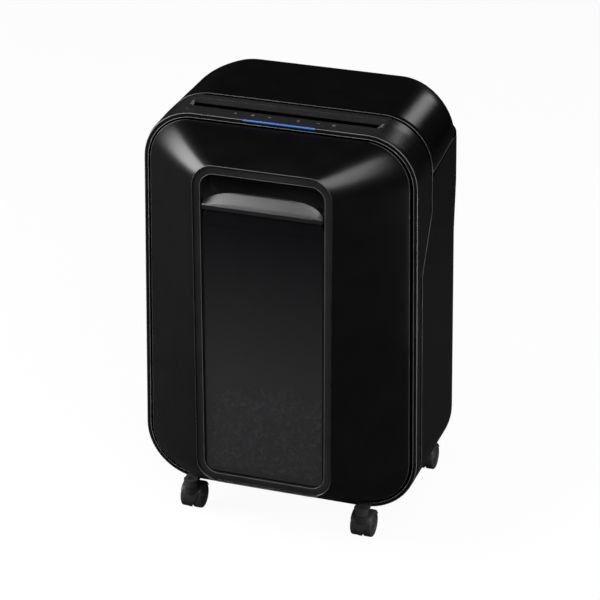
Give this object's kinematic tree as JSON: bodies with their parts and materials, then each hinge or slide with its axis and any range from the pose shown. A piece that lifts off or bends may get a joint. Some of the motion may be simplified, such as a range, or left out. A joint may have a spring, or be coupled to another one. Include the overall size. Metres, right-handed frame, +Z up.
{
  "type": "paper shredder",
  "caption": "Deskside paper shredder on swivel casters: pull-out bin with smoked window, top paper slot and a geared twin-shaft cutter head.",
  "frame": {"origin": "on the floor, under the middle of the body", "axes": "+X to the right seen from the front, +Y to the back, +Z up; the front panel faces -Y"},
  "size_m": [0.356, 0.266, 0.5378],
  "materials": {
    "shell": "gloss",
    "panel": "gloss",
    "frame_grey": "gloss",
    "smoked": "smoked",
    "satin": "satin",
    "strip": "satin",
    "light": "lit",
    "inner": "moulded",
    "tub": "moulded",
    "board": "board",
    "plate_steel": "zinc plated",
    "shaft_steel": "ground",
    "cutter_steel": "hardened",
    "gear_steel": "sintered",
    "bush": "sintered bronze",
    "gear_plastic": "acetal",
    "caster_grey": "satin",
    "wheel": "nylon",
    "rocker": "gloss",
    "red": "moulded",
    "can": "black",
    "film": "film"
  },
  "bodies": {
    "cabinet": {"rear_housing": "shell", "top_cover": "shell", "front_collar": "shell", "slot_lip": "shell", "paper_chute": "inner", "control_strip": "strip", "control_board": "board", "light_bar": "light", "base_plate": "inner", "head_tray": "inner", "side_plate_left": "plate_steel", "side_plate_right": "plate_steel", "tie_rods": "plate_steel", "shaft_bushes": "bush", "front_stripper": "inner", "rear_stripper": "inner", "motor_can": "can", "idler_pin": "shaft_steel", "gearbox_plate": "plate_steel", "main_board": "board", "run_capacitor": "film", "bin_rails": "inner", "bin_switch": "inner", "rocker_bezel": "satin", "cord_gland": "satin", "housing_screws": "plate_steel"},
    "bin": {"front_panel": "panel", "window_frame": "frame_grey", "finger_pocket": "shell", "pull_handle": "shell", "bin_window": "smoked", "bin_tub": "tub"},
    "front_cutter": {"front_cutter_shaft": "shaft_steel", "front_cutter_discs": "cutter_steel", "front_timing_gear": "gear_steel"},
    "rear_cutter": {"rear_cutter_shaft": "shaft_steel", "rear_cutter_discs": "cutter_steel", "rear_timing_gear": "gear_steel", "drive_gear": "gear_steel"},
    "idler": {"idler_gear": "gear_plastic"},
    "motor_shaft": {"motor_rotor": "shaft_steel", "motor_pinion": "gear_steel", "cooling_fan": "inner"},
    "rocker": {"power_rocker": "rocker"},
    "plunger": {"switch_plunger": "red"},
    "swivel_fl": {"caster_fl": "caster_grey"},
    "roll_fl_left": {"wheel_fl_left": "wheel"},
    "roll_fl_right": {"wheel_fl_right": "wheel"},
    "swivel_fr": {"caster_fr": "caster_grey"},
    "roll_fr_left": {"wheel_fr_left": "wheel"},
    "roll_fr_right": {"wheel_fr_right": "wheel"},
    "swivel_rl": {"caster_rl": "caster_grey"},
    "roll_rl_left": {"wheel_rl_left": "wheel"},
    "roll_rl_right": {"wheel_rl_right": "wheel"},
    "swivel_rr": {"caster_rr": "caster_grey"},
    "roll_rr_left": {"wheel_rr_left": "wheel"},
    "roll_rr_right": {"wheel_rr_right": "wheel"}
  },
  "joints": [
    {"name": "bin_slide", "type": "slide", "parent": "cabinet", "child": "bin", "axis": [0, -1, 0], "range_m": [0, 0.18]},
    {"name": "cutter_spin", "type": "hinge", "parent": "cabinet", "child": "rear_cutter", "pos_m": [0, -0.022, 0.47], "axis": [1, 0, 0], "continuous": true},
    {"name": "front_cutter_spin", "type": "hinge", "parent": "cabinet", "child": "front_cutter", "pos_m": [0, -0.058, 0.47], "axis": [1, 0, 0], "continuous": true},
    {"name": "idler_spin", "type": "hinge", "parent": "cabinet", "child": "idler", "pos_m": [0.13, 0.02477, 0.443], "axis": [1, 0, 0], "continuous": true},
    {"name": "motor_spin", "type": "hinge", "parent": "cabinet", "child": "motor_shaft", "pos_m": [0.07, 0.06377, 0.443], "axis": [1, 0, 0], "continuous": true},
    {"name": "power_rocker_tilt", "type": "hinge", "parent": "cabinet", "child": "rocker", "pos_m": [0.1, 0.124, 0.44], "axis": [1, 0, 0], "range_deg": [0, 16]},
    {"name": "plunger_slide", "type": "slide", "parent": "cabinet", "child": "plunger", "axis": [0, -1, 0], "range_m": [0, 0.003]},
    {"name": "swivel_fl_turn", "type": "hinge", "parent": "cabinet", "child": "swivel_fl", "pos_m": [-0.113, -0.088, 0.04], "axis": [0, 0, 1], "continuous": true},
    {"name": "wheel_fl_left_roll", "type": "hinge", "parent": "swivel_fl", "child": "roll_fl_left", "pos_m": [-0.113, -0.076, 0.0165], "axis": [1, 0, 0], "continuous": true},
    {"name": "wheel_fl_right_roll", "type": "hinge", "parent": "swivel_fl", "child": "roll_fl_right", "pos_m": [-0.113, -0.076, 0.0165], "axis": [1, 0, 0], "continuous": true},
    {"name": "swivel_fr_turn", "type": "hinge", "parent": "cabinet", "child": "swivel_fr", "pos_m": [0.113, -0.088, 0.04], "axis": [0, 0, 1], "continuous": true},
    {"name": "wheel_fr_left_roll", "type": "hinge", "parent": "swivel_fr", "child": "roll_fr_left", "pos_m": [0.113, -0.076, 0.0165], "axis": [1, 0, 0], "continuous": true},
    {"name": "wheel_fr_right_roll", "type": "hinge", "parent": "swivel_fr", "child": "roll_fr_right", "pos_m": [0.113, -0.076, 0.0165], "axis": [1, 0, 0], "continuous": true},
    {"name": "swivel_rl_turn", "type": "hinge", "parent": "cabinet", "child": "swivel_rl", "pos_m": [-0.138, 0.103, 0.04], "axis": [0, 0, 1], "continuous": true},
    {"name": "wheel_rl_left_roll", "type": "hinge", "parent": "swivel_rl", "child": "roll_rl_left", "pos_m": [-0.138, 0.115, 0.0165], "axis": [1, 0, 0], "continuous": true},
    {"name": "wheel_rl_right_roll", "type": "hinge", "parent": "swivel_rl", "child": "roll_rl_right", "pos_m": [-0.138, 0.115, 0.0165], "axis": [1, 0, 0], "continuous": true},
    {"name": "swivel_rr_turn", "type": "hinge", "parent": "cabinet", "child": "swivel_rr", "pos_m": [0.138, 0.103, 0.04], "axis": [0, 0, 1], "continuous": true},
    {"name": "wheel_rr_left_roll", "type": "hinge", "parent": "swivel_rr", "child": "roll_rr_left", "pos_m": [0.138, 0.115, 0.0165], "axis": [1, 0, 0], "continuous": true},
    {"name": "wheel_rr_right_roll", "type": "hinge", "parent": "swivel_rr", "child": "roll_rr_right", "pos_m": [0.138, 0.115, 0.0165], "axis": [1, 0, 0], "continuous": true}
  ],
  "couplings": [
    {"joint": "front_cutter_spin", "follows": "cutter_spin", "ratio": -1},
    {"joint": "idler_spin", "follows": "cutter_spin", "ratio": -2.8571},
    {"joint": "motor_spin", "follows": "cutter_spin", "ratio": 9.5238},
    {"joint": "plunger_slide", "follows": "bin_slide", "ratio": 0.016667}
  ]
}
